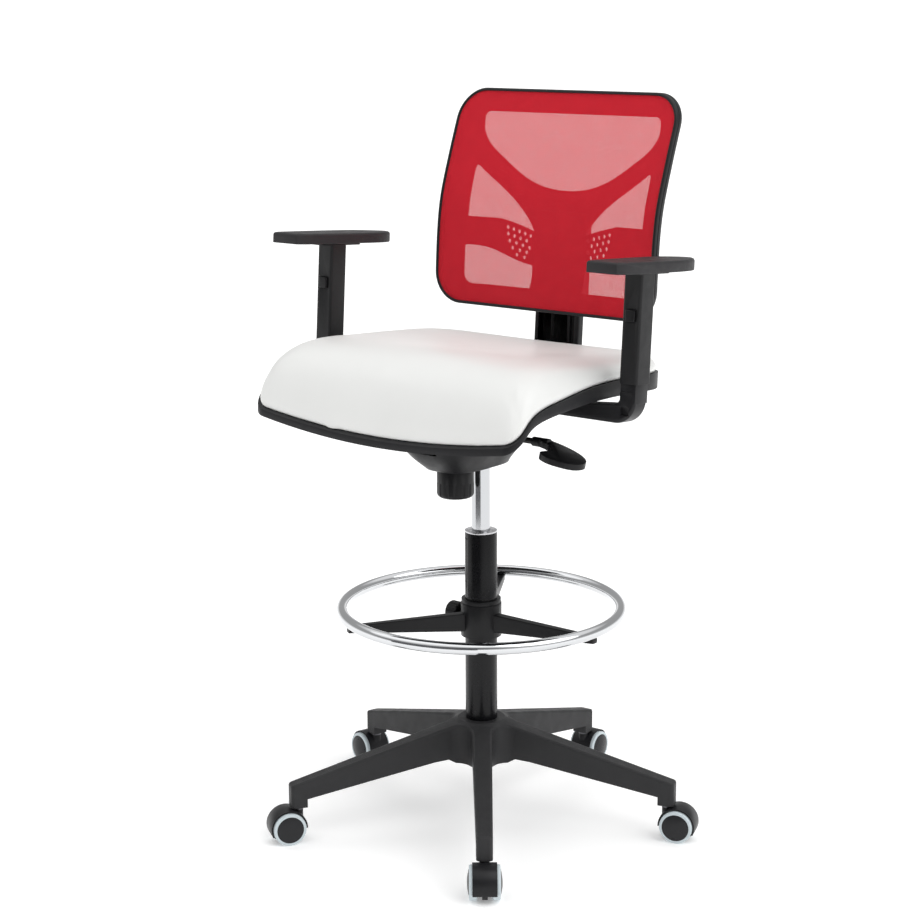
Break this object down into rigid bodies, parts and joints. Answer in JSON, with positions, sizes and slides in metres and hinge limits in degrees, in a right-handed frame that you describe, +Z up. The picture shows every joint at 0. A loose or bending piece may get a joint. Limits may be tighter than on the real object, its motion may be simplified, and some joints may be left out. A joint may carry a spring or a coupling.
{
  "type": "drafting chair",
  "caption": "Drafting chair with a white seat, red mesh back, height-adjustable arms and foot ring, on a star base with casters.",
  "frame": {"origin": "on the floor, under the axis of the column", "axes": "+Z up, the sitter faces -Y, +X to the sitter's left"},
  "size_m": [0.6596, 0.6338, 1.1069],
  "materials": {
    "base_nylon": "textured nylon",
    "dark_steel": "dark zinc plate",
    "black_steel": "satin black powder coat",
    "bright_steel": "zinc plated",
    "caster_plastic": "moulded nylon",
    "wheel_plastic": "moulded nylon",
    "tread_grey": "soft grey-blue tread",
    "gas_chrome": "polished chrome",
    "cover_plastic": "moulded plastic",
    "knob_plastic": "moulded plastic",
    "lever_plastic": "moulded plastic",
    "shell_plastic": "moulded plastic",
    "white_vinyl": "smooth white vinyl",
    "arm_steel": "satin black",
    "arm_plastic": "moulded plastic",
    "pad_plastic": "soft polyurethane",
    "button_plastic": "moulded plastic",
    "upright_plastic": "ribbed moulding",
    "back_red": "moulded plastic",
    "rim_plastic": "moulded plastic",
    "red_mesh": "stretched knitted mesh",
    "hub_plastic": "moulded plastic",
    "ring_chrome": "polished chrome",
    "bush_plastic": "moulded plastic"
  },
  "bodies": {
    "base": {"five_star_base": "base_nylon", "caster_stems": "dark_steel", "column_tube": "black_steel", "column_top_bush": "bright_steel", "thrust_bearing": "bright_steel"},
    "caster_1": {"caster_1_hood": "caster_plastic"},
    "caster_1_left_wheel": {"caster_1_wheel_left": "wheel_plastic", "caster_1_tread_left": "tread_grey"},
    "caster_1_right_wheel": {"caster_1_wheel_right": "wheel_plastic", "caster_1_tread_right": "tread_grey"},
    "caster_2": {"caster_2_hood": "caster_plastic"},
    "caster_2_left_wheel": {"caster_2_wheel_left": "wheel_plastic", "caster_2_tread_left": "tread_grey"},
    "caster_2_right_wheel": {"caster_2_wheel_right": "wheel_plastic", "caster_2_tread_right": "tread_grey"},
    "caster_3": {"caster_3_hood": "caster_plastic"},
    "caster_3_left_wheel": {"caster_3_wheel_left": "wheel_plastic", "caster_3_tread_left": "tread_grey"},
    "caster_3_right_wheel": {"caster_3_wheel_right": "wheel_plastic", "caster_3_tread_right": "tread_grey"},
    "caster_4": {"caster_4_hood": "caster_plastic"},
    "caster_4_left_wheel": {"caster_4_wheel_left": "wheel_plastic", "caster_4_tread_left": "tread_grey"},
    "caster_4_right_wheel": {"caster_4_wheel_right": "wheel_plastic", "caster_4_tread_right": "tread_grey"},
    "caster_5": {"caster_5_hood": "caster_plastic"},
    "caster_5_left_wheel": {"caster_5_wheel_left": "wheel_plastic", "caster_5_tread_left": "tread_grey"},
    "caster_5_right_wheel": {"caster_5_wheel_right": "wheel_plastic", "caster_5_tread_right": "tread_grey"},
    "piston": {"piston_rod": "bright_steel"},
    "mechanism": {"gas_cylinder": "gas_chrome", "mechanism_housing": "black_steel", "mechanism_cover": "cover_plastic", "pivot_shafts": "bright_steel", "tension_spring": "dark_steel"},
    "tension_knob": {"tension_knob": "knob_plastic"},
    "height_lever": {"height_lever": "lever_plastic"},
    "tilt_lock_lever": {"tilt_lock_lever": "lever_plastic"},
    "seat": {"seat_plate": "black_steel", "seat_shell": "shell_plastic", "seat_cushion": "white_vinyl", "seat_screws": "dark_steel", "arm_bracket_left": "arm_steel", "arm_bracket_right": "arm_steel"},
    "arm_left": {"arm_sleeve_left": "arm_plastic", "arm_pad_left": "pad_plastic"},
    "arm_button_left": {"arm_button_left": "button_plastic"},
    "arm_right": {"arm_sleeve_right": "arm_plastic", "arm_pad_right": "pad_plastic"},
    "arm_button_right": {"arm_button_right": "button_plastic"},
    "back_bar": {"back_bar": "black_steel", "back_upright": "upright_plastic"},
    "backrest": {"back_shell": "back_red", "back_frame": "rim_plastic", "back_mesh": "red_mesh"},
    "foot_ring": {"footring_hub": "hub_plastic", "footring": "ring_chrome", "footring_bush": "bush_plastic"},
    "ring_knob": {"footring_knob": "knob_plastic"}
  },
  "joints": [
    {"name": "caster_1_swivel", "type": "hinge", "parent": "base", "child": "caster_1", "pos_m": [0.18637, -0.22609, 0.05], "axis": [0, 0, 1], "continuous": true},
    {"name": "caster_1_left_spin", "type": "hinge", "parent": "caster_1", "child": "caster_1_left_wheel", "pos_m": [0.1975, -0.23959, 0.025], "axis": [0.7716, 0.6361, 0], "continuous": true},
    {"name": "caster_1_right_spin", "type": "hinge", "parent": "caster_1", "child": "caster_1_right_wheel", "pos_m": [0.1975, -0.23959, 0.025], "axis": [0.7716, 0.6361, 0], "continuous": true},
    {"name": "caster_2_swivel", "type": "hinge", "parent": "base", "child": "caster_2", "pos_m": [0.27261, 0.10738, 0.05], "axis": [0, 0, 1], "continuous": true},
    {"name": "caster_2_left_spin", "type": "hinge", "parent": "caster_2", "child": "caster_2_left_wheel", "pos_m": [0.2889, 0.1138, 0.025], "axis": [-0.3665, 0.9304, 0], "continuous": true},
    {"name": "caster_2_right_spin", "type": "hinge", "parent": "caster_2", "child": "caster_2_right_wheel", "pos_m": [0.2889, 0.1138, 0.025], "axis": [-0.3665, 0.9304, 0], "continuous": true},
    {"name": "caster_3_swivel", "type": "hinge", "parent": "base", "child": "caster_3", "pos_m": [-0.01789, 0.29245, 0.05], "axis": [0, 0, 1], "continuous": true},
    {"name": "caster_3_left_spin", "type": "hinge", "parent": "caster_3", "child": "caster_3_left_wheel", "pos_m": [-0.01896, 0.30992, 0.025], "axis": [-0.9981, -0.061, 0], "continuous": true},
    {"name": "caster_3_right_spin", "type": "hinge", "parent": "caster_3", "child": "caster_3_right_wheel", "pos_m": [-0.01896, 0.30992, 0.025], "axis": [-0.9981, -0.061, 0], "continuous": true},
    {"name": "caster_4_swivel", "type": "hinge", "parent": "base", "child": "caster_4", "pos_m": [-0.28367, 0.07336, 0.05], "axis": [0, 0, 1], "continuous": true},
    {"name": "caster_4_left_spin", "type": "hinge", "parent": "caster_4", "child": "caster_4_left_wheel", "pos_m": [-0.30061, 0.07774, 0.025], "axis": [-0.2504, -0.9681, 0], "continuous": true},
    {"name": "caster_4_right_spin", "type": "hinge", "parent": "caster_4", "child": "caster_4_right_wheel", "pos_m": [-0.30061, 0.07774, 0.025], "axis": [-0.2504, -0.9681, 0], "continuous": true},
    {"name": "caster_5_swivel", "type": "hinge", "parent": "base", "child": "caster_5", "pos_m": [-0.15743, -0.24711, 0.05], "axis": [0, 0, 1], "continuous": true},
    {"name": "caster_5_left_spin", "type": "hinge", "parent": "caster_5", "child": "caster_5_left_wheel", "pos_m": [-0.16683, -0.26187, 0.025], "axis": [0.8434, -0.5373, 0], "continuous": true},
    {"name": "caster_5_right_spin", "type": "hinge", "parent": "caster_5", "child": "caster_5_right_wheel", "pos_m": [-0.16683, -0.26187, 0.025], "axis": [0.8434, -0.5373, 0], "continuous": true},
    {"name": "seat_swivel", "type": "hinge", "parent": "base", "child": "piston", "pos_m": [0, 0, 0.107], "axis": [0, 0, 1], "continuous": true},
    {"name": "gas_lift", "type": "slide", "parent": "piston", "child": "mechanism", "axis": [0, 0, 1], "range_m": [-0.095, 0.1]},
    {"name": "tension_knob_turn", "type": "hinge", "parent": "mechanism", "child": "tension_knob", "pos_m": [0, -0.06, 0.54], "axis": [0, 0, 1], "range_deg": [0, 900]},
    {"name": "height_lever_lift", "type": "hinge", "parent": "mechanism", "child": "height_lever", "pos_m": [0.1, -0.042, 0.62], "axis": [-1, 0, 0], "range_deg": [0, 12], "stiffness_Nm_per_rad": 1.5, "springref_deg": -8.59},
    {"name": "tilt_lock_lever_turn", "type": "hinge", "parent": "mechanism", "child": "tilt_lock_lever", "pos_m": [-0.1, -0.042, 0.62], "axis": [-1, 0, 0], "range_deg": [0, 12]},
    {"name": "seat_tilt", "type": "hinge", "parent": "mechanism", "child": "seat", "pos_m": [0, -0.088, 0.628], "axis": [-1, 0, 0], "range_deg": [-4, 6]},
    {"name": "back_recline", "type": "hinge", "parent": "mechanism", "child": "back_bar", "pos_m": [0, 0.034, 0.628], "axis": [-1, 0, 0], "range_deg": [-8, 12]},
    {"name": "back_height", "type": "slide", "parent": "back_bar", "child": "backrest", "axis": [0, 0.0706, 0.9975], "range_m": [-0.015, 0.05]},
    {"name": "arm_left_height", "type": "slide", "parent": "seat", "child": "arm_left", "axis": [0, 0.0706, 0.9975], "range_m": [-0.01, 0.055]},
    {"name": "arm_left_button_press", "type": "slide", "parent": "arm_left", "child": "arm_button_left", "axis": [0, 0.9975, -0.0706], "range_m": [0, 0.002], "stiffness_N_per_m": 900, "springref_m": -0.002},
    {"name": "arm_right_height", "type": "slide", "parent": "seat", "child": "arm_right", "axis": [0, 0.0706, 0.9975], "range_m": [-0.01, 0.055]},
    {"name": "arm_right_button_press", "type": "slide", "parent": "arm_right", "child": "arm_button_right", "axis": [0, 0.9975, -0.0706], "range_m": [0, 0.002], "stiffness_N_per_m": 900, "springref_m": -0.002},
    {"name": "foot_ring_height", "type": "slide", "parent": "base", "child": "foot_ring", "axis": [0, 0, 1], "range_m": [-0.1, 0.07]},
    {"name": "foot_ring_knob_turn", "type": "hinge", "parent": "foot_ring", "child": "ring_knob", "pos_m": [-0.05, 0, 0.322], "axis": [-1, 0, 0], "range_deg": [0, 540]}
  ],
  "couplings": [
    {"joint": "back_recline", "follows": "seat_tilt", "ratio": 2}
  ]
}
